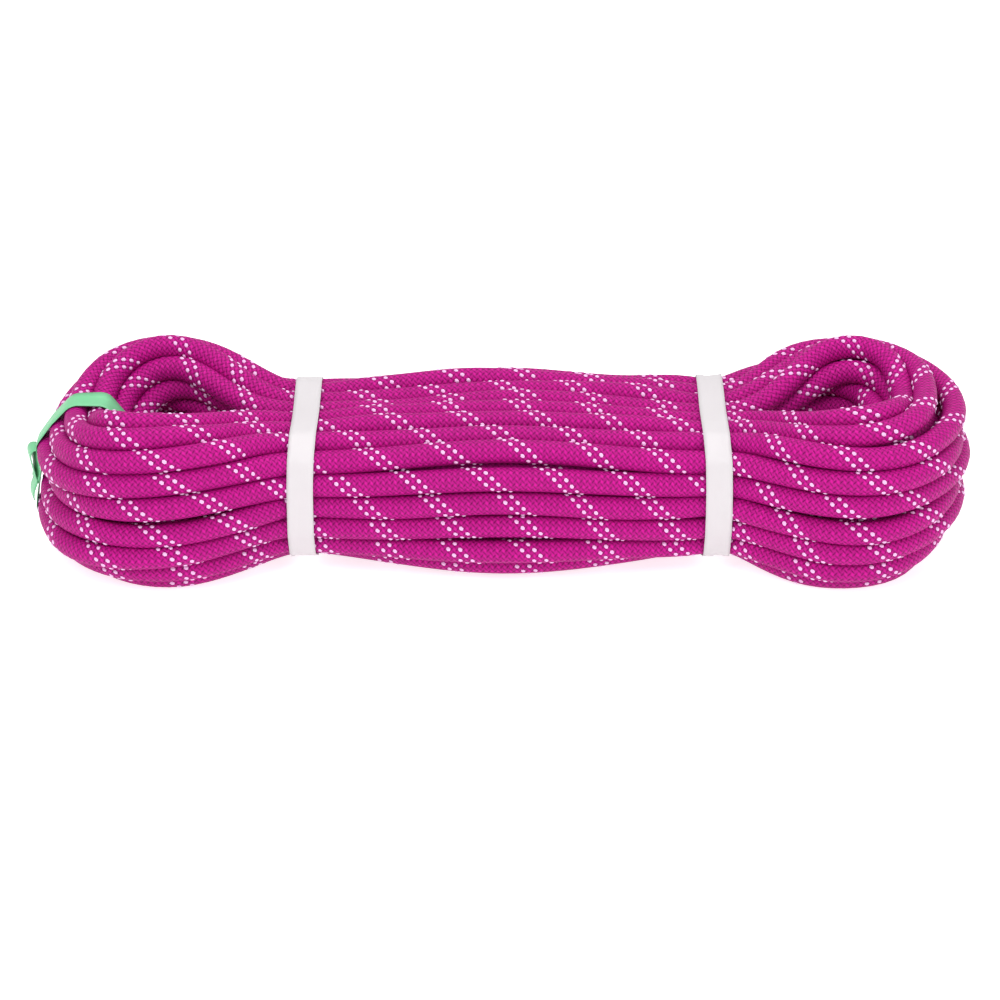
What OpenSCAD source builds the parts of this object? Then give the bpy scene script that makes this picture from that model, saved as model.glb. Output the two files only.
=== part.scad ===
/* [Rope] */
// Diameter of the rope
rope_d = 10.1; // [9.8:0.1:10.4]
// Thickness of the braided sheath
sheath_t = 1.1; // [0.9:0.1:1.2]
// Diameter of one core strand
core_d = 2.5; // [1.8:0.1:2.5]

/* [Hank] */
// Length of the hank from tip to tip
hank_len = 395; // [385:1:410]
// Distance from the middle of the hank to the middle of the left band
left_waist_x = 83; // [78:0.5:90]
// Distance from the middle of the hank to the middle of the right band
right_waist_x = 88; // [80:0.5:92]
// Distance from the middle of the hank to the thickest place of each end
lobe_x = 146; // [142:1:152]
// Depth and height where the ends are thickest
lobe_size = [117, 78];
// Depth and height under the bands
waist_size = [84, 63];
// Depth and height at the middle
middle_size = [97, 67];
// Rounding of the hank's long corners
corner_r = 20; // [18:1:25]

/* [Eyes] */
// Length of the opening in the left end
left_eye_len = 52; // [46:1:56]
// Length of the opening in the right end
right_eye_len = 48; // [42:1:52]
// Widest place of each opening
eye_w = 46; // [36:1:48]
// Thickness of rope between each opening and the tip
eye_wall = 34; // [32:1:36]

/* [Bands] */
// Width of each paper band
band_w = 11; // [10:0.5:14]
// Thickness of each paper band
band_t = 0.5; // [0.4:0.1:0.8]
// Length of the stuck-down overlap at the back
band_lap = 24; // [16:1:30]

/* [Green tape] */
// Width of the tape
tape_w = 11; // [6:1:12]
// Thickness of the tape
tape_t = 0.5; // [0.4:0.1:0.8]
// How far the folded loop of the tape stands out at the tip
tape_loop_out = 5; // [4:0.5:6]

/* [Rope ends] */
// Length of the inner end that lies between the two walls of the hank
inner_end_len = 104; // [98:1:110]
// Length of the outer end that lies along the back of the hank
outer_end_len = 118; // [110:1:124]
// Length of the shrink sleeve on each end
sleeve_len = 34; // [28:1:40]
// Thickness of the shrink sleeve
sleeve_t = 0.4; // [0.3:0.1:0.5]
// Length of the melted tip
tip_len = 4; // [3:0.5:5]

/* [Hidden] */
CORE_STRANDS = 7;
function core_names(end_name) = [for (i = [1 : CORE_STRANDS]) str(end_name, "_core_", i)];

magenta = [0.78, 0.07, 0.54];
core_white = [0.93, 0.92, 0.90];
band_white = [0.96, 0.95, 0.94];
mint = [0.45, 0.83, 0.58];
sleeve_white = [0.90, 0.90, 0.92];
melted = [0.45, 0.05, 0.32];

tip_x = hank_len / 2;
// The folded tape stands out at the left only, so the hank sits a little to the right.
hank_shift = tape_loop_out / 2;
waist_flat = band_w / 2 + 1;      // the waist stays level this far each side of a band
waist_lift = 6;                   // height of the underside at the waist
rise_out = 42;                    // the underside comes down this far outside a waist
rise_in = 60;                     // and this far inside it
gap = 0.15;                       // clearance between pieces that are only laid together
far = 300;                        // longer than any side of the hank
step = 5;                         // degrees between the points of an outline
root2 = sqrt(2);

// Smooth step from a to b as t goes from 0 to 1
function blend(a, b, t) = a + (b - a) * (1 - cos(180 * min(1, max(0, t)))) / 2;
function waist_at(x) = x < 0 ? left_waist_x : right_waist_x;
// Girth along the hank: the middle, a level waist, then the thick end
function girth(x, i) =
    let (s = abs(x), w = waist_at(x))
    s < w
        ? blend(middle_size[i], waist_size[i], s / (w - waist_flat))
        : blend(waist_size[i], lobe_size[i], (s - w - waist_flat) / (lobe_x - w - waist_flat));
// 1 along the hank, and falling to "least" along a quarter of an ellipse at each tip
function tip_fall(x, least) =
    let (t = min(1, max(0, (abs(x) - lobe_x) / (tip_x - lobe_x))))
    least + (1 - least) * sqrt(1 - t * t);
function half_depth(x) = girth(x, 0) / 2 * tip_fall(x, 0.06);
function top_z(x) = girth(x, 1) * tip_fall(x, 0.7);
// Height of the underside, which rises to waist_lift under the bands
function lift(x) =
    let (past = abs(x) - waist_at(x))
    past < 0
        ? blend(waist_lift, 0, (-past - waist_flat) / (rise_in - waist_flat))
        : blend(waist_lift, 0, (past - waist_flat) / (rise_out - waist_flat));
function mid_z(x) = (girth(x, 1) + lift(x)) / 2;
// Half extent square to a long corner, which is rounded by corner_r
function half_diagonal(x) =
    let (half_height = (girth(x, 1) - lift(x)) / 2 * tip_fall(x, 0.8))
    (half_depth(x) + half_height - 2 * corner_r) / root2 + corner_r;

stations = [for (a = [-90 : step : 90]) tip_x * sin(a)];
function reverse(list) = [for (i = [len(list) - 1 : -1 : 0]) list[i]];

// Underside of one end, from the tip to the middle: it rests on the lobe and on the middle.
// Each pair is a distance from the tip or the waist and a height.
function underside(waist_x) = [
    [tip_x, 32], [tip_x - 5, 16], [tip_x - 16, 6], [tip_x - 42, 1.3], [tip_x - 50, 0],
    [waist_x + rise_out, 0], [waist_x + waist_flat, waist_lift],
    [waist_x - waist_flat, waist_lift], [waist_x - rise_in, 0]
];

module plan_outline() {
    polygon(concat(
        [for (x = stations) [x, half_depth(x)]],
        [for (x = reverse(stations)) [x, -half_depth(x)]]
    ));
}

module side_outline() {
    polygon(concat(
        [for (x = stations) [x, top_z(x)]],
        [for (p = underside(right_waist_x)) p],
        [for (p = reverse(underside(left_waist_x))) [-p[0], p[1]]]
    ));
}

// The hank seen along a line at 45 degrees to the floor; side is 1 or -1
module corner_outline(side) {
    polygon(concat(
        [for (x = stations) [x, side * mid_z(x) / root2 + half_diagonal(x)]],
        [for (x = reverse(stations)) [x, side * mid_z(x) / root2 - half_diagonal(x)]]
    ));
}

// A drop-shaped opening that is round at the tip and closes towards the waist
module eye_outline(eye_len) {
    polygon([
        for (a = [0 : 10 : 350])
            [
                tip_x - eye_wall - eye_len / 2 + eye_len / 2 * cos(a),
                eye_w / 2 * sin(a) * pow(cos(a / 2) * cos(a / 2), 0.35)
            ]
    ]);
}

module rope_solid() {
    intersection() {
        translate([0, 0, -far / 2]) linear_extrude(far) plan_outline();
        rotate([90, 0, 0]) translate([0, 0, -far / 2]) linear_extrude(far) side_outline();
        rotate([45, 0, 0]) translate([0, 0, -far / 2]) linear_extrude(far) corner_outline(1);
        rotate([-45, 0, 0]) translate([0, 0, -far / 2]) linear_extrude(far) corner_outline(-1);
    }
}

inner_end_x = 24;                                  // the inner end leaves the turns here
inner_end_at = [inner_end_x, 0, 22];
outer_end_x = -8;                                  // the outer end leaves the turns here
outer_end_at = [outer_end_x, waist_size[0] / 2 - rope_d / 2 - sleeve_t - 0.6, 34];
end_room = rope_d + 2 * sleeve_t + 2 * gap;        // width of the space that an end lies in

module rope_hank() {
    color(magenta)
    translate([hank_shift, 0, 0])
    difference() {
        rope_solid();
        translate([0, 0, -1]) linear_extrude(far) eye_outline(right_eye_len);
        translate([0, 0, -1]) linear_extrude(far) mirror([1, 0]) eye_outline(left_eye_len);
        // the space of the inner end runs into the right eye
        translate(inner_end_at - [0, end_room / 2, end_room / 2])
            cube([inner_end_len + 3, end_room, end_room]);
        // the space of the outer end is open to the back
        translate(outer_end_at - [0, end_room / 2, end_room / 2])
            cube([outer_end_len + 3, far, end_room]);
    }
}

// The hank's section at a waist, grown outwards
module waist_section(grow) {
    half_height = (waist_size[1] - waist_lift) / 2;
    half_corner = (waist_size[0] / 2 + half_height - 2 * corner_r) / root2 + corner_r;
    centre = waist_lift + half_height;
    top = waist_size[1] + grow;
    bottom = waist_lift - grow;
    intersection() {
        translate([-waist_size[0] / 2 - grow, bottom])
            square([waist_size[0] + 2 * grow, top - bottom]);
        translate([0, centre]) rotate(45)
            square(2 * (half_corner + grow), center = true);
    }
}

module band(x) {
    color(band_white)
    translate([x + hank_shift - band_w / 2, 0, 0])
    rotate([90, 0, 90])
    linear_extrude(band_w) {
        difference() {
            waist_section(gap + band_t);
            waist_section(gap);
        }
        // the stuck-down overlap at the back
        translate([waist_size[0] / 2 + gap, waist_size[1] / 2 + 3])
            square([2 * band_t, band_lap / 2]);
    }
}

module band_left() { band(-left_waist_x); }
module band_right() { band(right_waist_x); }

// A closed strip of tape round the rope between the left eye and the tip, with its ends
// folded into a small loop outside the tip
tape_y = 2;                                        // middle of the tape's width
tape_in = 44;                                      // from the tip to the leg inside the eye
tape_top = lobe_size[1];                           // the strip lies on the turns at this height
tape_low = 0.2;
loop_z = [19, 43];                                 // lowest and highest place of the folded loop

module tape_shape(inset) {
    translate([-tip_x - gap - tape_t + inset, tape_low + inset])
        square([tape_in + gap + tape_t - 2 * inset, tape_top + tape_t + gap - tape_low - 2 * inset]);
}

module tape_loop(inset) {
    translate([-tip_x - tape_loop_out + gap + inset, loop_z[0] + inset])
        square([tape_loop_out - gap - 2 * inset, loop_z[1] - loop_z[0] - 2 * inset]);
}

module green_tape() {
    color(mint)
    translate([hank_shift, tape_y + tape_w / 2, 0])
    rotate([90, 0, 0])
    linear_extrude(tape_w) {
        difference() {
            union() {
                tape_shape(0);
                tape_loop(0);
            }
            tape_shape(tape_t);
            tape_loop(tape_t);
        }
    }
}

// Where a rope end starts, with its axis turned along the hank
module at_end(place) {
    translate(place + [hank_shift, 0, 0]) rotate([0, 90, 0]) children();
}

module end_sheath(place, length) {
    color(magenta)
    at_end(place)
    difference() {
        cylinder(d = rope_d, h = length - tip_len, $fn = 48);
        translate([0, 0, -1]) cylinder(d = rope_d - 2 * sheath_t, h = length, $fn = 48);
    }
}

// Core strand 1 lies in the middle and the other six lie round it
module end_core(place, length, i) {
    ring_r = core_d + 0.05;
    color(core_white)
    at_end(place)
    rotate(60 * i) translate([i == 1 ? 0 : ring_r, 0, 0])
        cylinder(d = core_d, h = length - tip_len, $fn = 32);
}

module end_sleeve(place, length) {
    sleeve_in = rope_d + 0.1;
    color(sleeve_white)
    at_end(place)
    translate([0, 0, length - tip_len - sleeve_len])
    difference() {
        cylinder(d = sleeve_in + 2 * sleeve_t, h = sleeve_len, $fn = 48);
        translate([0, 0, -1]) cylinder(d = sleeve_in, h = sleeve_len + 2, $fn = 48);
    }
}

module end_tip(place, length) {
    round_r = 1.5;
    color(melted)
    at_end(place)
    translate([0, 0, length - tip_len])
    rotate_extrude($fn = 48) {
        square([rope_d / 2, tip_len - round_r]);
        square([rope_d / 2 - round_r, tip_len]);
        translate([rope_d / 2 - round_r, tip_len - round_r])
            intersection() {
                circle(round_r, $fn = 32);
                square(round_r);
            }
    }
}

rope_hank();
band_left();
band_right();
green_tape();
end_sheath(inner_end_at, inner_end_len);  // inner_end_sheath
end_sleeve(inner_end_at, inner_end_len);  // inner_end_sleeve
end_tip(inner_end_at, inner_end_len);  // inner_end_tip
end_sheath(outer_end_at, outer_end_len);  // outer_end_sheath
end_sleeve(outer_end_at, outer_end_len);  // outer_end_sleeve
end_tip(outer_end_at, outer_end_len);  // outer_end_tip
for (i = [1 : CORE_STRANDS]) {
    end_core(inner_end_at, inner_end_len, i);
    end_core(outer_end_at, outer_end_len, i);
}
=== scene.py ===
import math

import bmesh
import bpy
import numpy as np
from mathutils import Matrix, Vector


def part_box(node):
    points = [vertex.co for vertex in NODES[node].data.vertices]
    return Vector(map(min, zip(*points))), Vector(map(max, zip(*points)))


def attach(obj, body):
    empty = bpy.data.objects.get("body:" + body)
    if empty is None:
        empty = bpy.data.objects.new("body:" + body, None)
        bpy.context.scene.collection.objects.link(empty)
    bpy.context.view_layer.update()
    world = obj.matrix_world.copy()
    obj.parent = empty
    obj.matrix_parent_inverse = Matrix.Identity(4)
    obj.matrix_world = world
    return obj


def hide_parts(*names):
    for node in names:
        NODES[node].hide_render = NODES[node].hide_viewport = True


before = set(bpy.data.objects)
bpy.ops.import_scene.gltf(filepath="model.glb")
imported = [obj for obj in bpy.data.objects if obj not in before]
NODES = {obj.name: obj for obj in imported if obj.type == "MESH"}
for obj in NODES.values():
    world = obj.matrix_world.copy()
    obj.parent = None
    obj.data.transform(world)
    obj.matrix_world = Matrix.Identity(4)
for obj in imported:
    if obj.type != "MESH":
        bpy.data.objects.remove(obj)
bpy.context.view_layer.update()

# ---------------------------------------------------------------- sizes, in metres
hank_low, hank_high = (np.array(corner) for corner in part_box("rope_hank"))
sheath_low, sheath_high = (np.array(corner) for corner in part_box("inner_end_sheath"))
outer_low, outer_high = (np.array(corner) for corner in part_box("outer_end_sheath"))
band_low, band_high = (np.array(corner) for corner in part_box("band_left"))
right_low, right_high = (np.array(corner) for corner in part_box("band_right"))
tape_low, tape_high = (np.array(corner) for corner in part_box("green_tape"))

ROPE_D = sheath_high[2] - sheath_low[2]
ROPE_R = ROPE_D / 2
CENTRE_X = (hank_low[0] + hank_high[0]) / 2
TIP = (hank_high[0] - hank_low[0]) / 2
LEFT_WAIST = CENTRE_X - (band_low[0] + band_high[0]) / 2
RIGHT_WAIST = (right_low[0] + right_high[0]) / 2 - CENTRE_X
BAND_WIDTH = band_high[0] - band_low[0]
LOBE = TIP - 0.0515                      # where the ends are thickest, from the centre
LOBE_SIZE = (hank_high[1] - hank_low[1], hank_high[2])
BAND_T = 0.0005
BAND_BOW = 0.0018                        # the bands lean outwards this much at the front
BAND_CLEAR = 0.00015                     # the bands' clearance in the CAD
STRIP_CLEAR = 0.0006                     # the modelled bands clear the marker yarns' pads
TAPE_T = 0.0004
TAPE_CLEAR = 0.0005
WAIST_SIZE = (
    2 * (band_high[1] - 2 * BAND_T - BAND_CLEAR),
    band_high[2] - BAND_T - BAND_CLEAR,
)
WAIST_LIFT = band_low[2] + BAND_T + BAND_CLEAR
MIDDLE_SIZE = (WAIST_SIZE[0] + 0.013, WAIST_SIZE[1] + 0.004)
WAIST_FLAT = BAND_WIDTH / 2 + 0.001      # the waist stays level this far each side of a band
RISE_OUT = 0.042                         # the underside comes down this far outside a waist
RISE_IN = 0.060                          # and this far inside it
CORNER_R = 0.020
HALF_EYE = 0.026                         # half the width of each eye
TIP_WALL = 0.034                         # thickness of the turns at each tip

# ---------------------------------------------------------------- winding
# turns in each shell of a wall, from the outside in
MIDDLE_SHELLS = (12, 7, 5, 1)
WAIST_SHELLS = (11, 8, 5, 1)
LOBE_SHELLS = (12, 8, 4, 1)
SHELL_STEP = 0.0085                      # spacing of the shells
EYE_ROUND = 0.011                        # rounding of the walls towards the eyes
TURNS = sum(WAIST_SHELLS)
BEAD = 0.0066                            # spacing of the points that the rope is settled with
RING = 0.0052                            # spacing of the rings of the tube
SIDES = 16
PAD_SIDES = 6                            # corners of each pad of marker yarn
BEND_RADIUS = 0.0235                     # tighter bends of the rope's middle line open out
CONTACT = 0.955                          # strands are pushed this part of a diameter apart
BRAID_PITCH = 0.030                      # one turn of a yarn round the rope
YARNS = 12                               # yarns that run each way round

# shares of a turn: back wall, right tip, front wall, left tip, back wall
RIGHT_TIP = (0.20, 0.30)
LEFT_TIP = (0.70, 0.80)
RIGHT_TIP_RISE = 0.002                   # the right tip hangs a little off the floor
LEFT_TIP_RISE = -0.008                   # the left tip lies lower
LEFT_TIP_SPARE = 0.0030                  # room for the turns to spread at the tips
RIGHT_TIP_SPARE = 0.0045
EYE_FORWARD = 0.0025                     # the eyes lie this far in front of the middle
FRONT_SINK = 0.07                        # the front wall of each end has sunk by this part
LOOSE_TURN = 16                          # this turn stands out at the right tip
LOOSE_REACH = 0.006
LEFT_REACH = 0.0004                      # no turn stands out further than this at the left tip
TIP_FALL = (0.12, 0.18)                  # how much lower the turns get on their way round a tip

# ---------------------------------------------------------------- settling
ROUNDS = 420
PRESS = 1.4                              # how fast strands that overlap move apart
FAIRING = 0.06                           # how fast sharp changes of bend even out
EASING = 0.25                            # how fast tight bends open out
SQUEEZE = 0.7                            # how fast a band draws its strands in
EARLY_PULL, LATE_PULL = 0.02, 0.003      # how strongly the turns keep to where they were laid

# ---------------------------------------------------------------- marker yarns
PAD_HALF_LONG, PAD_HALF_WIDE = 0.00109, 0.00088
# share of the pad's outline and height over the sheath: its middle, shoulder and rim
PAD_RINGS = ((0.0, 0.00034), (0.62, 0.00027), (1.0, -0.00006))
MARKER_YARNS = (0, 2)                    # which of the yarns of one family are white


def smooth_step(t):
    return (1 - np.cos(np.pi * np.clip(t, 0, 1))) / 2


def waist_of(x):
    return np.where(x < 0, LEFT_WAIST, RIGHT_WAIST)


def girth(x, axis):
    """Depth (axis 0) or height (axis 1) of the hank at x from its centre."""
    reach, waist = np.abs(x), waist_of(x)
    middle = smooth_step(reach / (waist - WAIST_FLAT))
    lobe = smooth_step((reach - waist - WAIST_FLAT) / (LOBE - waist - WAIST_FLAT))
    inside = MIDDLE_SIZE[axis] + (WAIST_SIZE[axis] - MIDDLE_SIZE[axis]) * middle
    outside = WAIST_SIZE[axis] + (LOBE_SIZE[axis] - WAIST_SIZE[axis]) * lobe
    return np.where(reach < waist, inside, outside)


def lift(x):
    """Height of the underside, which is off the floor under the bands."""
    past = np.abs(x) - waist_of(x)
    inside = (-past - WAIST_FLAT) / (RISE_IN - WAIST_FLAT)
    outside = (past - WAIST_FLAT) / (RISE_OUT - WAIST_FLAT)
    return WAIST_LIFT * (1 - smooth_step(np.where(past < 0, inside, outside)))


def half_gap(x):
    """Half the space between the two walls: none between the waists, an eye at each end."""
    waist = waist_of(x)
    return HALF_EYE * smooth_step((np.abs(x) - waist - 0.004) / (LOBE - waist - 0.004))


def turn_points(t, places, reach):
    """Points of the winding. t counts turns from the back wall's middle. places gives, for
    the sections at the middle, the waists and the lobes, how far each point lies from the
    wall's inner face and from its mid-height. reach is how far a turn stands out at a tip."""
    share = t % 1.0
    x = np.zeros_like(share)
    back = share < RIGHT_TIP[0]
    x[back] = LOBE * share[back] / RIGHT_TIP[0]
    front = (share >= RIGHT_TIP[1]) & (share < LEFT_TIP[0])
    x[front] = LOBE * (0.5 - share[front]) / (0.5 - RIGHT_TIP[1])
    back = share >= LEFT_TIP[1]
    x[back] = -LOBE * (1 - share[back]) / (1 - LEFT_TIP[1])
    walls = (share < RIGHT_TIP[0]) | front | back
    along = np.abs(np.where(walls, x, LOBE))
    waist = waist_of(np.where(walls, x, np.where(share < 0.5, LOBE, -LOBE)))
    to_waist = smooth_step(along / (waist - WAIST_FLAT))[:, None]
    to_lobe = smooth_step((along - waist - WAIST_FLAT) / (LOBE - waist - WAIST_FLAT))[:, None]
    middle, at_waist, lobe = places
    inside = middle * (1 - to_waist) + at_waist * to_waist
    place = inside * (1 - to_lobe) + lobe * to_lobe
    wall = LOBE_SIZE[0] / 2 - HALF_EYE - ROPE_D
    side = np.where(front, -1.0, 1.0)
    aside = -side * to_lobe[:, 0] * EYE_FORWARD
    y = side * (half_gap(x) + aside + ROPE_R + place[:, 0] * (1 - aside / wall))
    bottom = lift(x)
    z = (bottom + girth(np.clip(x, -LOBE, LOBE), 1)) / 2 + place[:, 1]
    sink = np.where(front, to_lobe[:, 0], 0.0)
    tips = (
        (RIGHT_TIP, 1, RIGHT_TIP_RISE, RIGHT_TIP_SPARE),
        (LEFT_TIP, -1, LEFT_TIP_RISE, LEFT_TIP_SPARE),
    )
    for (start, end), sign, rise, spare in tips:
        here = (share >= start) & (share < end)
        angle = (share[here] - start) / (end - start) * np.pi
        layer = lobe[here, 0] / wall
        out = TIP - ROPE_R - spare - LOBE - (1 - layer) * (TIP_WALL - ROPE_D)
        out += reach[here] if sign > 0 else np.minimum(reach[here], LEFT_REACH)
        sine = np.sin(angle)
        fall = 1 - TIP_FALL[0] * sine - TIP_FALL[1] * sine**5
        x[here] = sign * (LOBE + out * sine)
        aside = -sign * np.cos(angle) * EYE_FORWARD
        turn_y = HALF_EYE + aside + ROPE_R + lobe[here, 0] * (1 - aside / wall)
        y[here] = sign * turn_y * np.cos(angle)
        sink[here] = (1 - sign * np.cos(angle)) / 2
        z[here] = LOBE_SIZE[1] / 2 + rise * sine**2 + lobe[here, 1] * fall
    return np.stack([x, y, z * (1 - FRONT_SINK * sink)], -1)


def wander(rng, t, amount, per_turn):
    """Smooth noise along the rope."""
    at = t * per_turn
    knot = np.floor(at).astype(int)
    part = at - knot
    part = part * part * (3 - 2 * part)
    values = rng.standard_normal(knot.max() + 2)
    return amount * (values[knot] * (1 - part) + values[knot + 1] * part)


def wall_section(wide, half_high, shells, rounding=0.0):
    """Where each turn lies in a wall's section. The turns lie in shells that follow the
    outline. They are wound from the inside out, down one shell and up the next."""
    places = np.zeros((0, 2))
    for number, count in enumerate(shells):
        inset = number * SHELL_STEP
        y, z = max(wide - inset, 0), max(half_high - inset, 0)
        corner = min(max(CORNER_R - ROPE_R - inset, 0), y, z)
        bend = np.linspace(0, math.pi / 2, 7)
        upper = np.stack([y - corner * (1 - np.sin(bend)), z - corner * (1 - np.cos(bend))], -1)
        lower = upper[::-1] * (1, -1)
        inner = min(max(rounding - inset, 0), z)
        start = np.stack([inner * (1 - np.cos(bend)), z - inner * (1 - np.sin(bend))], -1)
        path = np.vstack([start, upper, lower, start[::-1] * (1, -1)])
        along = np.concatenate([[0], np.cumsum(np.linalg.norm(np.diff(path, axis=0), axis=1))])
        wanted = along[-1] * (np.linspace(0, 1, count) if count > 1 else np.array([0.5]))
        shell = np.stack([np.interp(wanted, along, path[:, i]) for i in range(2)], -1)
        places = np.vstack([shell[::-1] if number % 2 else shell, places])
    return places


def wall_sections():
    """The sections at the middle, the waists and the lobes."""
    waist_high = WAIST_SIZE[1] - WAIST_LIFT
    middle = wall_section(
        MIDDLE_SIZE[0] / 2 - ROPE_D, (MIDDLE_SIZE[1] - ROPE_D) / 2, MIDDLE_SHELLS
    )
    # the first turn of the second shell comes out underneath, between the waists
    first = MIDDLE_SHELLS[3] + MIDDLE_SHELLS[2]
    middle = np.concatenate([middle[:first], middle[-1:], middle[first:-1]])
    return np.array([
        middle,
        wall_section(WAIST_SIZE[0] / 2 - ROPE_D, (waist_high - ROPE_D) / 2, WAIST_SHELLS),
        wall_section(
            LOBE_SIZE[0] / 2 - HALF_EYE - ROPE_D,
            (LOBE_SIZE[1] - ROPE_D) / 2,
            LOBE_SHELLS,
            EYE_ROUND,
        ),
    ])


def even_points(points, spacing):
    """The same line with evenly spaced points."""
    along = np.concatenate([[0], np.cumsum(np.linalg.norm(np.diff(points, axis=0), axis=1))])
    count = int(round(along[-1] / spacing))
    wanted = np.linspace(0, along[-1], count + 1)
    return np.stack([np.interp(wanted, along, points[:, i]) for i in range(3)], -1)


def straight(start, end, spacing=0.004):
    count = max(2, int(np.linalg.norm(np.subtract(end, start)) / spacing))
    return np.linspace(start, end, count)


def wound_rope(rng):
    """The rope before it settles: the inner end, the turns, the outer end."""
    sections = wall_sections()
    # from the front wall, left of the middle, to just past the last turn
    t = np.arange(0.6, TURNS + 0.02, 0.0025)
    since_front = t - 0.5
    turn = np.clip(np.floor(since_front).astype(int), 0, TURNS - 1)
    following = np.minimum(turn + 1, TURNS - 1)
    part = since_front - np.floor(since_front)
    start = 0.18 + 0.04 * rng.standard_normal(TURNS)[turn]
    climb = smooth_step((part - start) / 0.42)[:, None]
    places = sections[:, turn] * (1 - climb) + sections[:, following] * climb
    places[:, :, 0] += wander(rng, t, 0.0006, 4)
    places[:, :, 1] += wander(rng, t, 0.0006, 4)
    reach = 0.001 * rng.standard_normal(TURNS)
    reach[LOOSE_TURN] = LOOSE_REACH
    turns = turn_points(t, places, reach[np.clip(np.floor(t).astype(int), 0, TURNS - 1)])
    leaves = -0.85 * LEFT_WAIST          # both ends leave the turns near the left waist
    first = np.argmax(turns[:, 0] < leaves)
    last = len(turns) - 1 - np.argmax(turns[::-1, 0] < leaves)
    inner_y, inner_z = (sheath_low[1:] + sheath_high[1:]) / 2
    outer_y, outer_z = (outer_low[1:] + outer_high[1:]) / 2
    inner = straight(
        (sheath_high[0] - CENTRE_X, inner_y, inner_z), (sheath_low[0] - CENTRE_X, inner_y, inner_z)
    )
    outer = straight(
        (outer_low[0] - CENTRE_X, outer_y, outer_z), (outer_high[0] - CENTRE_X, outer_y, outer_z)
    )
    return even_points(np.vstack([inner, turns[first : last + 1], outer]), BEAD)


def near_pairs(points):
    """Points and segments of other strands that are close enough to touch soon."""
    middles = (points[1:] + points[:-1]) / 2
    reach = (1.45 * ROPE_D) ** 2
    found_points, found_segments = [], []
    for start in range(0, len(points), 400):
        block = points[start : start + 400].astype(np.float32)
        away = np.zeros((len(block), len(middles)), np.float32)
        for axis in range(3):
            away += (block[:, axis, None] - middles[None, :, axis].astype(np.float32)) ** 2
        a, b = np.nonzero(away < reach)
        a = a + start
        apart = np.abs(a - b) > 4
        found_points.append(a[apart])
        found_segments.append(b[apart])
    return np.concatenate(found_points), np.concatenate(found_segments)


def push_apart(points, pairs, free):
    """Moves strands that press into each other apart."""
    point, segment = pairs
    start = points[segment]
    line = points[segment + 1] - start
    part = ((points[point] - start) * line).sum(1) / np.maximum((line**2).sum(1), 1e-12)
    part = np.clip(part, 0, 1)
    between = points[point] - start - line * part[:, None]
    distance = np.linalg.norm(between, axis=1)
    close = distance < CONTACT * ROPE_D
    between, part = between[close], part[close]
    point, segment = point[close], segment[close]
    distance = np.maximum(distance[close], 1e-5)
    move = between * ((CONTACT * ROPE_D - distance) / distance / 2)[:, None]
    total = np.zeros_like(points)
    count = len(points)
    for axis in range(3):
        total[:, axis] = (
            np.bincount(point, move[:, axis], count)
            - np.bincount(segment, move[:, axis] * (1 - part), count)
            - np.bincount(segment + 1, move[:, axis] * part, count)
        )
    hits = (
        np.bincount(point, minlength=count)
        + np.bincount(segment, 1 - part, count)
        + np.bincount(segment + 1, part, count)
    )
    return points + free * total / np.maximum(hits, 1)[:, None] * PRESS


def keep_length(points, free):
    """Brings the points back to one bead from each other."""
    edges = points[1:] - points[:-1]
    lengths = np.linalg.norm(edges, axis=1)
    pull = edges * ((lengths - BEAD) / lengths / 4)[:, None]
    points = points.copy()
    points[:-1] += free[:-1] * pull
    points[1:] -= free[1:] * pull
    return points


def keep_fair(points, free):
    """Evens out the bends without shortening the turns."""
    bend = points[:-2] - 2 * points[1:-1] + points[2:]
    change = np.zeros_like(points)
    change[2:-2] = bend[:-2] - 2 * bend[1:-1] + bend[2:]
    return points - free * change * FAIRING


def ease_bends(points, free):
    """Opens out the bends that are tighter than BEND_RADIUS."""
    bend = points[:-2] - 2 * points[1:-1] + points[2:]
    size = np.maximum(np.linalg.norm(bend, axis=1), 1e-9)
    over = np.maximum(1 - BEAD**2 / BEND_RADIUS / size, 0)[:, None]
    move = bend * over * EASING
    change = np.zeros_like(points)
    change[1:-1] += move
    change[:-2] -= move / 2
    change[2:] -= move / 2
    return points + free * change


def squeeze(points, free):
    """Keeps the strands at each waist inside the band."""
    half_y = WAIST_SIZE[0] / 2 - ROPE_R
    half_z = (WAIST_SIZE[1] - WAIST_LIFT) / 2 - ROPE_R
    middle_z = (WAIST_SIZE[1] + WAIST_LIFT) / 2
    corner = CORNER_R - ROPE_R
    for waist in (-LEFT_WAIST, RIGHT_WAIST):
        near = np.abs(points[:, 0] - waist) < BAND_WIDTH / 2 + 0.003
        y = points[:, 1]
        z = points[:, 2] - middle_z
        over_y = np.abs(y) - (half_y - corner)
        over_z = np.abs(z) - (half_z - corner)
        out_y = np.maximum(over_y, 0)
        out_z = np.maximum(over_z, 0)
        outside = np.hypot(out_y, out_z) + np.minimum(np.maximum(over_y, over_z), 0) - corner
        pressed = near & (outside > 0) & (free[:, 0] > 0)
        length = np.hypot(out_y, out_z) + 1e-9
        points[pressed, 1] -= (outside * out_y * np.sign(y) / length)[pressed] * SQUEEZE
        points[pressed, 2] -= (outside * out_z * np.sign(z) / length)[pressed] * SQUEEZE
    return points


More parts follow.
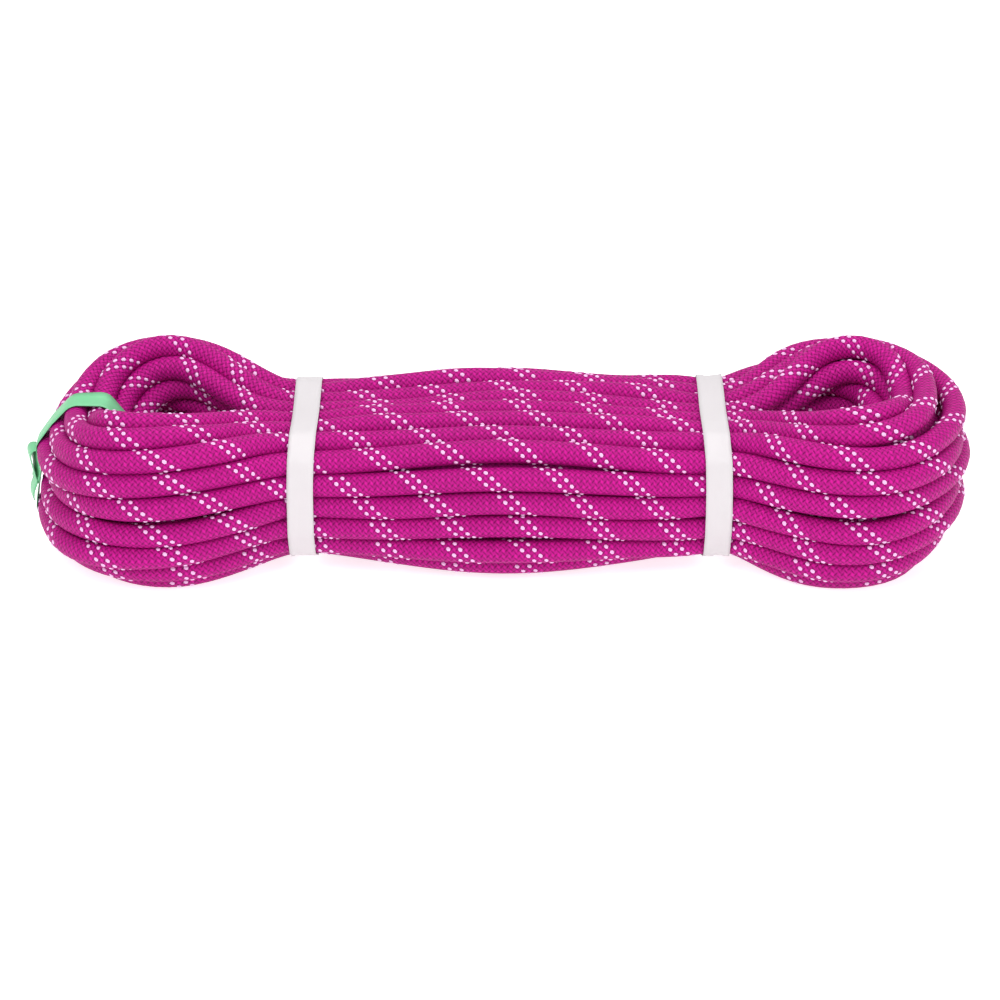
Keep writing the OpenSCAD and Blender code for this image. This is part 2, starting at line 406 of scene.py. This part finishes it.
def settle(points):
    """Lets the turns press on each other, the bands and the floor until they lie still."""
    rounds = ROUNDS
    target = points.copy()
    along = np.arange(len(points)) * BEAD
    inner_length = sheath_high[0] - sheath_low[0]
    outer_length = outer_high[0] - outer_low[0]
    held = (along < inner_length) | (along > along[-1] - outer_length)
    free = np.where(held, 0.0, 1.0)[:, None]
    for number in range(rounds):
        if number % 10 == 0:
            pairs = near_pairs(points)
        points = push_apart(points, pairs, free)
        points = keep_length(points, free)
        points = keep_fair(points, free)
        for _ in range(4):
            points = ease_bends(points, free)
        points = squeeze(points, free)
        points[:, 2] = np.maximum(points[:, 2], ROPE_R)
        pull = EARLY_PULL if number < rounds * 0.5 else LATE_PULL
        points = points + free * (target - points) * pull
    return points


def curve_through(points, spacing):
    """A smooth curve through the points, as evenly spaced points."""
    padded = np.vstack([2 * points[0] - points[1], points, 2 * points[-1] - points[-2]])
    pieces = []
    for part in (0, 0.25, 0.5, 0.75):
        a, b, c, d = padded[:-3], padded[1:-2], padded[2:-1], padded[3:]
        pieces.append(
            0.5
            * (
                2 * b
                + (c - a) * part
                + (2 * a - 5 * b + 4 * c - d) * part**2
                + (3 * b - a - 3 * c + d) * part**3
            )
        )
    fine = np.stack(pieces, 1).reshape(-1, 3)
    return even_points(np.vstack([fine, points[-1]]), spacing)


def frames_along(points):
    """Unit tangents, and normals that don't twist about the line."""
    tangents = np.gradient(points, axis=0)
    tangents /= np.linalg.norm(tangents, axis=1)[:, None]
    normals = np.zeros_like(points)
    normal = np.array([0.0, 0.0, 1.0])
    for i, tangent in enumerate(tangents):
        normal = normal - tangent * (normal @ tangent)
        normal = normal / math.sqrt(normal @ normal)
        normals[i] = normal
    return tangents, normals


def marker_shift(row):
    """How far round the pattern has moved at this height: slanting lines that get steeper
    towards the floor."""
    return 0.056 * row**2


def braid_roll(points, along, normals, binormals):
    """How far the sheath is turned at each ring. The rope rolls a little from turn to turn,
    so the marker yarns of neighbouring strands meet in long slanting lines at the front."""
    front = (points[:-1, 0] > 0) & (points[1:, 0] <= 0) & (points[:-1, 1] < 0)
    crossings = np.nonzero(front)[0]
    rng = np.random.default_rng(11)
    wanted_at, wanted_roll = [0.0], [0.0]
    for ring in crossings:
        to_camera = np.array([0.0, -math.cos(CAMERA_TILT), math.sin(CAMERA_TILT)])
        facing = math.atan2(to_camera @ binormals[ring], to_camera @ normals[ring])
        row = (points[ring, 2] + points[ring, 1] * math.tan(CAMERA_TILT)) / ROPE_D
        phase = -2 * math.pi * (marker_shift(row) + 0.05 * rng.standard_normal())
        roll = facing + phase - 2 * math.pi * along[ring] / BRAID_PITCH
        turn_back = round((roll - wanted_roll[-1]) / (2 * math.pi))
        wanted_at.append(along[ring])
        wanted_roll.append(roll - 2 * math.pi * turn_back)
    return np.interp(along, wanted_at, wanted_roll)


# ---------------------------------------------------------------- camera
CAMERA_TILT = math.radians(27)
CAMERA_DISTANCE = 1.8
VIEW_WIDTH = 0.425                       # what the view takes in at the hank's middle
VIEW_BELOW = 0.0186                      # the view's middle lies this far below the hank's
VIEW_SHIFT = 0.001


def make_camera():
    camera = bpy.data.cameras.new("camera")
    camera.sensor_width = 36
    camera.lens = camera.sensor_width * CAMERA_DISTANCE / VIEW_WIDTH
    holder = bpy.data.objects.new("camera", camera)
    bpy.context.scene.collection.objects.link(holder)
    back = Vector((0, -math.cos(CAMERA_TILT), math.sin(CAMERA_TILT)))
    up = Vector((0, math.sin(CAMERA_TILT), math.cos(CAMERA_TILT)))
    aim = Vector((VIEW_SHIFT, 0, hank_high[2] / 2)) - up * VIEW_BELOW
    holder.location = aim + back * CAMERA_DISTANCE
    holder.rotation_euler = (-back).to_track_quat("-Z", "Y").to_euler()
    bpy.context.scene.camera = holder


# ---------------------------------------------------------------- mesh help
def new_object(name, verts, faces, smooth=True):
    mesh = bpy.data.meshes.new(name)
    mesh.from_pydata([tuple(v) for v in verts], [], faces)
    mesh.update()
    if smooth:
        mesh.polygons.foreach_set("use_smooth", [True] * len(mesh.polygons))
    piece = bpy.data.objects.new(name, mesh)
    bpy.context.scene.collection.objects.link(piece)
    return piece


class Rope:
    """The settled rope: its line, its frames and its braid."""

    def __init__(self):
        rng = np.random.default_rng(3)
        line = settle(wound_rope(rng))
        line = curve_through(line, RING)
        self.points = line + np.array([CENTRE_X, 0, 0])
        steps = np.linalg.norm(np.diff(self.points, axis=0), axis=1)
        self.along = np.concatenate([[0], np.cumsum(steps)])
        self.tangents, self.normals = frames_along(self.points)
        self.binormals = np.cross(self.tangents, self.normals)
        self.roll = braid_roll(line, self.along, self.normals, self.binormals)

    def surface(self, along, angle, radius):
        """Points at a distance from the rope's middle line, turned with the braid."""
        at = np.interp(along, self.along, np.arange(len(self.along)))
        low = np.minimum(at.astype(int), len(self.along) - 2)
        part = (at - low)[:, None]
        centre = self.points[low] * (1 - part) + self.points[low + 1] * part
        normal = self.normals[low] * (1 - part) + self.normals[low + 1] * part
        side = self.binormals[low] * (1 - part) + self.binormals[low + 1] * part
        turned = angle + np.interp(along, self.along, self.roll)
        outward = normal * np.cos(turned)[:, None] + side * np.sin(turned)[:, None]
        outward /= np.linalg.norm(outward, axis=1)[:, None]
        return centre + outward * radius


def make_rope(rope):
    """The sheath: a tube round the whole line, closed at both ends."""
    rings = len(rope.points)
    angles = np.arange(SIDES) * 2 * math.pi / SIDES
    ring = (
        rope.normals[:, None, :] * np.cos(angles)[None, :, None]
        + rope.binormals[:, None, :] * np.sin(angles)[None, :, None]
    )
    verts = (rope.points[:, None, :] + ring * ROPE_R).reshape(-1, 3)
    i, k = np.meshgrid(np.arange(rings - 1), np.arange(SIDES), indexing="ij")
    after = (k + 1) % SIDES
    near, far = i * SIDES, (i + 1) * SIDES
    quads = np.stack([near + k, near + after, far + after, far + k], -1)
    faces = [tuple(quad) for quad in quads.reshape(-1, 4).tolist()]
    faces.append(tuple(reversed(range(SIDES))))
    faces.append(tuple((rings - 1) * SIDES + k for k in range(SIDES)))
    piece = new_object("climbing_rope", verts, faces)
    # along the rope in braid pitches, and round it in turns
    u = rope.along / BRAID_PITCH
    roll = rope.roll / (2 * math.pi)
    low_u, high_u = u[i], u[i + 1]
    low_v, high_v = k / SIDES - roll[i], k / SIDES - roll[i + 1]
    step = 1 / SIDES
    corners = np.stack(
        [
            np.stack([low_u, low_v], -1),
            np.stack([low_u, low_v + step], -1),
            np.stack([high_u, high_v + step], -1),
            np.stack([high_u, high_v], -1),
        ],
        2,
    ).reshape(-1, 2)
    corners = np.vstack([corners, np.zeros((2 * SIDES, 2))])
    layer = piece.data.uv_layers.new(name="Braid")
    layer.data.foreach_set("uv", corners.astype(np.float32).ravel())
    return piece


def exposed(rope, along, places):
    """Which places on the sheath aren't covered by a neighbouring strand."""
    seen = np.ones(len(places), bool)
    cover = (ROPE_R * 1.02) ** 2
    block_size = 500
    for start in range(0, len(places), block_size):
        block = places[start : start + block_size]
        away = np.zeros((len(block), len(rope.points)), np.float32)
        for axis in range(3):
            away += (block[:, axis, None] - rope.points[None, :, axis]).astype(np.float32) ** 2
        own_along = along[start : start + block_size]
        own = np.abs(own_along[:, None] - rope.along[None, :]) < 3 * ROPE_D
        away[own] = 1
        seen[start : start + block_size] = away.min(1) > cover
    return seen


def make_marker_yarns(rope):
    """The two white yarns where they pass over the others: one low pad for each pass."""
    step = BRAID_PITCH / YARNS
    passes = int(rope.along[-1] / step)
    along, angle = [], []
    for yarn in MARKER_YARNS:
        m = np.arange(1, passes - 1)
        along.append(m * step)
        angle.append((yarn + m + 0.5) * 2 * math.pi / YARNS)
    along = np.concatenate(along)
    angle = np.concatenate(angle)
    places = rope.surface(along, angle, ROPE_R + 0.0006)
    seen = exposed(rope, along, places) & (places[:, 2] > 0.001)
    along, angle = along[seen], angle[seen]
    slope = math.atan2(2 * math.pi * ROPE_R, BRAID_PITCH)
    corners = np.arange(PAD_SIDES) * 2 * math.pi / PAD_SIDES
    rows = []
    for reach, height in PAD_RINGS:
        spots = corners if reach else np.array([0.0])
        for spot in spots:
            ahead = PAD_HALF_LONG * reach * math.cos(spot)
            aside = PAD_HALF_WIDE * reach * math.sin(spot)
            ds = ahead * math.cos(slope) - aside * math.sin(slope)
            da = (ahead * math.sin(slope) + aside * math.cos(slope)) / ROPE_R
            rows.append(rope.surface(along + ds, angle + da, ROPE_R + height))
    verts = np.stack(rows, 1).reshape(-1, 3)
    each = len(rows)
    faces = []
    for pad in range(len(along)):
        base = pad * each
        low = base + 1 + PAD_SIDES
        for k in range(PAD_SIDES):
            n = (k + 1) % PAD_SIDES
            faces.append((base, base + 1 + n, base + 1 + k))
            faces.append((base + 1 + k, base + 1 + n, low + n, low + k))
    return new_object("marker_yarns", verts, faces)


# ---------------------------------------------------------------- strips round the rope
def hull_outline(points):
    """Convex outline of 2D points, anticlockwise."""
    ordered = sorted(map(tuple, points))

    def half(sequence):
        line = []
        for p in sequence:
            while len(line) > 1:
                (ax, ay), (bx, by) = line[-2], line[-1]
                if (bx - ax) * (p[1] - ay) - (by - ay) * (p[0] - ax) > 0:
                    break
                line.pop()
            line.append(p)
        return line[:-1]

    return np.array(half(ordered) + half(reversed(ordered)))


def even_loop(outline, count):
    """The closed outline with evenly spaced points, starting where its first coordinate is
    least."""
    closed = np.vstack([outline, outline[:1]])
    along = np.concatenate([[0], np.cumsum(np.linalg.norm(np.diff(closed, axis=0), axis=1))])
    wanted = np.linspace(0, along[-1], count, endpoint=False)
    loop = np.stack([np.interp(wanted, along, closed[:, i]) for i in range(2)], -1)
    centre = loop.mean(0)
    start = np.argmin(np.arctan2(loop[:, 1] - centre[1], loop[:, 0] - centre[0]))
    return np.roll(loop, -start, axis=0)


def strip_mesh(name, inner, outer, closed):
    """A strip from rows of points across its width: inner and outer hold, for each row, the
    same number of points along the strip."""
    stations, count = inner.shape[:2]
    verts = np.vstack([inner.reshape(-1, 3), outer.reshape(-1, 3)])
    span = stations * count
    faces = []
    steps = count if closed else count - 1
    for i in range(stations - 1):
        for k in range(steps):
            n = (k + 1) % count
            a, b, c, d = i * count + k, i * count + n, (i + 1) * count + n, (i + 1) * count + k
            faces.append((a, d, c, b))
            faces.append((span + a, span + b, span + c, span + d))
    for i, flip in ((0, False), (stations - 1, True)):
        for k in range(steps):
            a, b = i * count + k, i * count + (k + 1) % count
            quad = (a, b, span + b, span + a)
            faces.append(tuple(reversed(quad)) if flip else quad)
    if not closed:
        for k, flip in ((0, True), (count - 1, False)):
            for i in range(stations - 1):
                a, b = i * count + k, (i + 1) * count + k
                quad = (a, b, span + b, span + a)
                faces.append(tuple(reversed(quad)) if flip else quad)
    return new_object(name, verts, faces)


def outward_of(loop):
    """Outward directions of an anticlockwise outline."""
    tangent = np.roll(loop, -1, axis=0) - np.roll(loop, 1, axis=0)
    tangent /= np.linalg.norm(tangent, axis=1)[:, None]
    return np.stack([tangent[:, 1], -tangent[:, 0]], -1)


def wrap_loops(points, axis, middle, width, stations, count):
    """Tight outlines round the points at places across a strip, square to the axis."""
    others = [i for i in range(3) if i != axis]
    places = middle + width * (np.arange(stations) / (stations - 1) - 0.5)
    loops = []
    for place in places:
        near = np.abs(points[:, axis] - place) < 0.0045
        loops.append(even_loop(hull_outline(points[near][:, others]), count))
    loops = np.array(loops)
    return places, loops * 0.6 + loops.mean(0) * 0.4


def wrapped_strip(name, places, loops, axis, clear, thickness, bow=0.0, span=None):
    """A strip that lies on the outlines. bow leans its middle sideways at the front, and
    span keeps only a part of the way round."""
    stations, count = loops.shape[:2]
    layers = []
    for grow in (clear, clear + thickness):
        layer = np.zeros((stations, count, 3))
        for i in range(stations):
            edge = 0.35 * thickness if i in (0, stations - 1) and grow > clear else 0.0
            ring = loops[i] + outward_of(loops[i]) * (grow - edge)
            front = np.maximum(-ring[:, 0], 0) / np.abs(ring[:, 0]).max()
            lean = bow * front**2
            layer[i] = np.insert(ring, axis, places[i] + lean, axis=1)
        layer[:, :, 2] = np.maximum(layer[:, :, 2], 0.0001 + grow - clear)
        layers.append(layer)
    if span is None:
        return strip_mesh(name, layers[0], layers[1], closed=True)
    keep = slice(*span)
    return strip_mesh(name, layers[0][:, keep], layers[1][:, keep], closed=False)


def join(name, pieces):
    """One object from several, with every face turned outwards."""
    verts, faces = [], []
    for piece in pieces:
        base = len(verts)
        verts += [tuple(v.co) for v in piece.data.vertices]
        faces += [tuple(base + i for i in face.vertices) for face in piece.data.polygons]
        bpy.data.objects.remove(piece)
    joined = new_object(name, verts, faces)
    solids = bmesh.new()
    solids.from_mesh(joined.data)
    bmesh.ops.recalc_face_normals(solids, faces=solids.faces)
    solids.to_mesh(joined.data)
    solids.free()
    return joined


def make_band(name, rope_verts, middle_x, bow):
    """A white strip drawn tight round the strands, with its end stuck down at the back."""
    places, loops = wrap_loops(rope_verts, 0, middle_x, BAND_WIDTH, 7, 160)
    round_all = wrapped_strip("round", places, loops, 0, STRIP_CLEAR, BAND_T * 0.8, bow)
    behind = int(np.argmax(loops[3][:, 0] - 0.3 * loops[3][:, 1]))
    lap = (behind, behind + 16)
    on_top = STRIP_CLEAR + BAND_T * 0.8
    over = wrapped_strip("over", places, loops, 0, on_top, BAND_T * 0.7, bow, lap)
    return join(name, [round_all, over])


def press_in(loops, points):
    """Lets the tape's outer leg sink in between the strands."""
    outer = loops[:, :, 0].min() + 0.006
    near = np.exp(-0.5 * (np.arange(-6, 7) / 2.5) ** 2)
    for loop in loops:
        room = np.zeros(len(loop))
        for k in np.nonzero(loop[:, 0] < outer)[0]:
            level = np.abs(points[:, 2] - loop[k, 1]) < 0.003
            room[k] = max(points[level, 0].min() - loop[k, 0], 0)
        around = np.concatenate([room[-6:], room, room[:6]])
        loop[:, 0] += 0.8 * np.convolve(around, near / near.sum(), "valid")
    return loops


def make_tape(name, rope_verts):
    """The green tape round the left tip: a tight turn through the eye, and its ends folded
    outside the tip into a small loop with a tail."""
    middle = (tape_low[1] + tape_high[1]) / 2
    width = tape_high[1] - tape_low[1]
    at_tip = rope_verts[rope_verts[:, 0] < hank_low[0] + TIP_WALL + 0.012]
    places, loops = wrap_loops(at_tip, 1, middle, width, 5, 120)
    loops = press_in(loops, at_tip[np.abs(at_tip[:, 1] - middle) < 0.008])
    turn = wrapped_strip("turn", places, loops, 1, TAPE_CLEAR, TAPE_T)
    leg = loops[2][loops[2][:, 0] < hank_low[0] + TIP_WALL / 2]
    leg = leg[np.argsort(leg[:, 1])]
    # distance from the strip's outer leg, and height, along each part of the folded end
    fold = np.array([
        (0.0014, 0.0425), (-0.0006, 0.0424), (-0.0022, 0.0408), (-0.0029, 0.0380),
        (-0.0027, 0.0345), (-0.0018, 0.0312), (-0.0006, 0.0285), (0.0000, 0.0272),
    ])
    back = np.array([
        (0.0000, 0.0272), (-0.0002, 0.0310), (-0.0006, 0.0350), (-0.0002, 0.0390), (0.0014, 0.0420)
    ])
    tail = np.array([
        (0.0000, 0.0300), (-0.0003, 0.0270), (-0.0009, 0.0240), (-0.0010, 0.0215), (-0.0006, 0.0190)
    ])
    pieces = [turn]
    for line, twist in ((fold, -0.26), (back, -0.42), (tail, -0.26)):
        line = curve_through(np.insert(line, 1, 0.0, axis=1), 0.0006)
        along = np.gradient(line, axis=0)
        side = np.stack([along[:, 2], np.zeros(len(line)), -along[:, 0]], -1)
        side /= np.linalg.norm(side, axis=1)[:, None]
        across = np.array([math.sin(twist), math.cos(twist), 0.0])
        rows = np.array([line + across * width * (f - 0.5) * 0.8 for f in np.linspace(0, 1, 5)])
        rows += np.array([0.4 * width * math.sin(twist) - TAPE_CLEAR - TAPE_T, middle, 0.0])
        rows[:, :, 0] += np.interp(line[:, 2], leg[:, 1], leg[:, 0])
        pieces.append(strip_mesh("part", rows, rows + side * TAPE_T, closed=False))
    return join(name, pieces)


# ---------------------------------------------------------------- materials
class Nodes:
    """Short forms for building a material's nodes."""

    def __init__(self, name):
        self.material = bpy.data.materials.new(name)
        self.material.use_nodes = True
        self.tree = self.material.node_tree
        self.shader = self.tree.nodes["Principled BSDF"]

    def node(self, kind, **settings):
        made = self.tree.nodes.new(kind)
        for key, value in settings.items():
            setattr(made, key, value)
        return made

    def put(self, value, socket):
        if isinstance(value, bpy.types.NodeSocket):
            self.tree.links.new(value, socket)
        else:
            socket.default_value = value

    def math(self, operation, a, b=0.0, clamp=False):
        made = self.node("ShaderNodeMath", operation=operation, use_clamp=clamp)
        self.put(a, made.inputs[0])
        self.put(b, made.inputs[1])
        return made.outputs[0]

    def mix(self, factor, a, b):
        made = self.node("ShaderNodeMix", data_type="RGBA")
        self.put(factor, made.inputs[0])
        self.put(a, made.inputs[6])
        self.put(b, made.inputs[7])
        return made.outputs[2]

    def noise(self, scale, detail=3.0, where=None, rough=0.5):
        made = self.node("ShaderNodeTexNoise")
        made.inputs["Scale"].default_value = scale
        made.inputs["Detail"].default_value = detail
        made.inputs["Roughness"].default_value = rough
        if where is None:
            where = self.node("ShaderNodeTexCoord").outputs["Object"]
        self.put(where, made.inputs["Vector"])
        return made.outputs["Fac"]

    def bump(self, height, distance, strength=1.0):
        made = self.node("ShaderNodeBump")
        made.inputs["Strength"].default_value = strength
        made.inputs["Distance"].default_value = distance
        self.put(height, made.inputs["Height"])
        self.tree.links.new(made.outputs["Normal"], self.shader.inputs["Normal"])

    def set(self, **values):
        for name, value in values.items():
            self.put(value, self.shader.inputs[name.replace("_", " ")])


def sheath_material():
    """Plain braid: twelve yarns each way, each passing over one and under one. The yarns that
    lean one way are painted lighter, a painted highlight for the light they catch, and the yarn
    edges and the parts that pass under are painted dark as painted shade, so the braid reads as
    columns of short slanted strokes."""
    n = Nodes("braided_sheath")
    uv = n.node("ShaderNodeUVMap", uv_map="Braid")
    split = n.node("ShaderNodeSeparateXYZ")
    n.put(uv.outputs["UV"], split.inputs[0])
    u = n.math("MULTIPLY", split.outputs["X"], YARNS)
    v = n.math("MULTIPLY", split.outputs["Y"], YARNS)
    right = n.math("SUBTRACT", v, u)
    left = n.math("ADD", v, u)

    def stroke(across):
        rounded = n.math("ABSOLUTE", n.math("SINE", n.math("MULTIPLY", across, math.pi)))
        return n.math("POWER", rounded, 0.6)

    # yarns of one family lie on top in every second column across the rope
    wave = n.math("COSINE", n.math("MULTIPLY", u, 2 * math.pi))
    on_top = n.math("ADD", n.math("MULTIPLY", wave, 0.5), 0.5)
    under = n.math("SUBTRACT", 1.0, on_top)
    right_stroke = n.math("MULTIPLY", stroke(right), on_top)
    left_stroke = n.math("MULTIPLY", stroke(left), under)
    height = n.math("ADD", right_stroke, left_stroke)
    fibre = n.math("SINE", n.math("MULTIPLY", right, 10 * math.pi))
    relief = n.math("ADD", height, n.math("MULTIPLY", fibre, 0.04))
    cell = n.node("ShaderNodeCombineXYZ")
    n.put(n.math("FLOOR", right), cell.inputs[0])
    n.put(n.math("FLOOR", left), cell.inputs[1])
    random = n.node("ShaderNodeTexWhiteNoise")
    n.put(cell.outputs[0], random.inputs["Vector"])
    worn = n.noise(14.0, 4.0)
    # painted shade: the yarns that lean left are painted at 0.72 of the others' brightness, and the
    # colour goes dark at yarn edges and where a yarn passes under
    shade = n.math("ADD", right_stroke, n.math("MULTIPLY", left_stroke, 0.72))
    each = n.math("ADD", n.math("MULTIPLY", random.outputs["Value"], 0.22), 0.86)
    patchy = n.math("ADD", n.math("MULTIPLY", worn, 0.3), 0.85)
    shade = n.math("MULTIPLY", n.math("MULTIPLY", shade, each), patchy, clamp=True)
    # the dark end of this mix is painted shade in the gaps between yarns; the factor also carries
    # random tone per cell and random patches
    colour = n.mix(shade, (0.085, 0.0, 0.043, 1), (0.54, 0.005, 0.25, 1))
    roughness = n.math("ADD", n.math("MULTIPLY", worn, 0.18), 0.5)
    n.set(Base_Color=colour, Roughness=roughness)
    n.shader.inputs["Specular IOR Level"].default_value = 0.26
    n.shader.inputs["Specular Tint"].default_value = (1.0, 0.5, 0.85, 1)
    n.bump(relief, 0.00045, 0.9)
    return n.material


def marker_material():
    n = Nodes("marker_yarn")
    tone = n.noise(900.0, 3.0)
    worn = n.noise(30.0, 3.0)
    colour = n.mix(n.math("MULTIPLY", tone, worn), (0.78, 0.47, 0.74, 1), (0.70, 0.31, 0.60, 1))
    n.set(Base_Color=colour, Roughness=n.math("ADD", n.math("MULTIPLY", tone, 0.2), 0.5))
    n.shader.inputs["Sheen Weight"].default_value = 0.2
    n.bump(tone, 0.0001, 0.5)
    return n.material


def band_material():
    """White satin strip with soft creases across it and greyer patches."""
    n = Nodes("white_strip")
    grain = n.noise(420.0, 4.0)
    cloud = n.noise(34.0, 2.0)
    place = n.node("ShaderNodeTexCoord").outputs["Object"]
    stretch = n.node("ShaderNodeMapping")
    stretch.inputs["Scale"].default_value = (260.0, 40.0, 40.0)
    n.put(place, stretch.inputs["Vector"])
    creases = n.noise(1.0, 2.0, stretch.outputs["Vector"])
    colour = n.mix(cloud, (0.59, 0.56, 0.575, 1), (0.525, 0.495, 0.51, 1))
    n.set(Base_Color=colour, Roughness=n.math("ADD", n.math("MULTIPLY", grain, 0.15), 0.4))
    n.shader.inputs["Subsurface Weight"].default_value = 0.08
    n.shader.inputs["Subsurface Radius"].default_value = (0.002, 0.002, 0.002)
    relief = n.math("ADD", n.math("MULTIPLY", grain, 0.12), n.math("MULTIPLY", creases, 0.8))
    n.bump(n.math("ADD", relief, cloud), 0.0006, 0.4)
    return n.material


def tape_material():
    n = Nodes("mint_tape")
    grain = n.noise(500.0, 3.0)
    cloud = n.noise(60.0, 2.0)
    colour = n.mix(cloud, (0.12, 0.46, 0.22, 1), (0.20, 0.55, 0.29, 1))
    n.set(Base_Color=colour, Roughness=n.math("ADD", n.math("MULTIPLY", grain, 0.2), 0.35))
    n.bump(n.math("ADD", n.math("MULTIPLY", grain, 0.2), cloud), 0.0004, 0.4)
    return n.material


def core_material():
    n = Nodes("core_strand")
    twist = n.node("ShaderNodeTexWave", wave_type="BANDS", bands_direction="DIAGONAL")
    twist.inputs["Scale"].default_value = 320.0
    twist.inputs["Distortion"].default_value = 1.5
    n.put(n.node("ShaderNodeTexCoord").outputs["Object"], twist.inputs["Vector"])
    colour = n.mix(twist.outputs["Fac"], (0.62, 0.60, 0.56, 1), (0.88, 0.87, 0.84, 1))
    n.set(Base_Color=colour, Roughness=n.math("ADD", n.math("MULTIPLY", n.noise(700.0), 0.2), 0.55))
    n.bump(twist.outputs["Fac"], 0.0003, 0.6)
    return n.material


def sleeve_material():
    n = Nodes("shrunk_sleeve")
    cloud = n.noise(90.0, 3.0)
    ripple = n.noise(240.0, 2.0)
    colour = n.mix(cloud, (0.84, 0.84, 0.86, 1), (0.72, 0.71, 0.74, 1))
    n.set(Base_Color=colour, Roughness=n.math("ADD", n.math("MULTIPLY", cloud, 0.15), 0.22))
    n.shader.inputs["Coat Weight"].default_value = 0.3
    n.bump(ripple, 0.0003, 0.5)
    return n.material


def melted_material():
    n = Nodes("melted_nylon")
    cloud = n.noise(160.0, 4.0)
    colour = n.mix(cloud, (0.22, 0.004, 0.09, 1), (0.05, 0.01, 0.02, 1))
    n.set(Base_Color=colour, Roughness=n.math("ADD", n.math("MULTIPLY", cloud, 0.3), 0.2))
    n.bump(n.noise(420.0, 3.0), 0.0006, 0.7)
    return n.material


def floor_material():
    n = Nodes("pale_floor")
    cloud = n.noise(3.0, 3.0)
    colour = n.mix(cloud, (0.66, 0.66, 0.66, 1), (0.63, 0.63, 0.63, 1))
    n.set(Base_Color=colour, Roughness=n.math("ADD", n.math("MULTIPLY", cloud, 0.1), 0.7))
    n.shader.inputs["Emission Color"].default_value = (1, 1, 1, 1)
    n.shader.inputs["Emission Strength"].default_value = 0.75
    return n.material


def wear(piece, material):
    piece.data.materials.clear()
    piece.data.materials.append(material)


def wear_cad(node, material):
    part = NODES[node]
    if not part.material_slots:
        part.data.materials.append(material)
    for place in part.material_slots:
        place.link = "OBJECT"
        place.material = material


# ---------------------------------------------------------------- floor and light
def make_floor():
    size = 3.0
    verts = [(-size, -size, 0), (size, -size, 0), (size, size, 0), (-size, size, 0)]
    floor = new_object("studio_floor", verts, [(0, 1, 2, 3)], smooth=False)
    wear(floor, floor_material())


def area_light(name, place, aim, size, power):
    lamp = bpy.data.lights.new(name, "AREA")
    lamp.shape = "DISK"
    lamp.size = size
    lamp.energy = power
    holder = bpy.data.objects.new(name, lamp)
    holder.location = place
    holder.rotation_euler = (Vector(aim) - Vector(place)).to_track_quat("-Z", "Y").to_euler()
    bpy.context.scene.collection.objects.link(holder)


def make_light():
    world = bpy.data.worlds.new("studio")
    world.use_nodes = True
    back = world.node_tree.nodes["Background"]
    back.inputs["Color"].default_value = (1, 1, 1, 1)
    back.inputs["Strength"].default_value = 0.75
    bpy.context.scene.world = world
    area_light("key", (-0.5, -1.2, 1.5), (0, 0, 0.04), 0.9, 16)
    area_light("top", (0.2, 0.3, 1.7), (0, 0, 0.04), 1.4, 14)
    area_light("fill", (1.3, -1.0, 0.7), (0, 0, 0.04), 1.0, 6)
    bpy.context.scene.view_settings.view_transform = "Standard"


# ---------------------------------------------------------------- the object
make_camera()
rope = Rope()
sheath = sheath_material()
rope_piece = make_rope(rope)
wear(rope_piece, sheath)
marker_piece = make_marker_yarns(rope)
wear(marker_piece, marker_material())

rope_verts = np.empty(len(rope_piece.data.vertices) * 3)
rope_piece.data.vertices.foreach_get("co", rope_verts)
rope_verts = rope_verts.reshape(-1, 3)
strip = band_material()
bands = []
for band_node, middle, bow in (
    ("band_left", CENTRE_X - LEFT_WAIST, -BAND_BOW),
    ("band_right", CENTRE_X + RIGHT_WAIST, BAND_BOW),
):
    band_piece = make_band(band_node + "_strip", rope_verts, middle, bow)
    wear(band_piece, strip)
    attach(band_piece, "root")
    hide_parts(band_node)
    bands.append(band_piece)

end_material = {
    "sleeve": sleeve_material(),
    "tip": melted_material(),
    "core": core_material(),
}
for node in NODES:
    for word, material in end_material.items():
        if "_end_" + word in node:
            wear_cad(node, material)
tape_piece = make_tape("mint_tape", rope_verts)
wear(tape_piece, tape_material())
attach(tape_piece, "root")
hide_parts("green_tape")

for piece, slot in ((rope_piece, "sheath"), (marker_piece, "sheath")):
    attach(piece, "root")
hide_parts("rope_hank", "inner_end_sheath", "outer_end_sheath")

make_floor()
make_light()
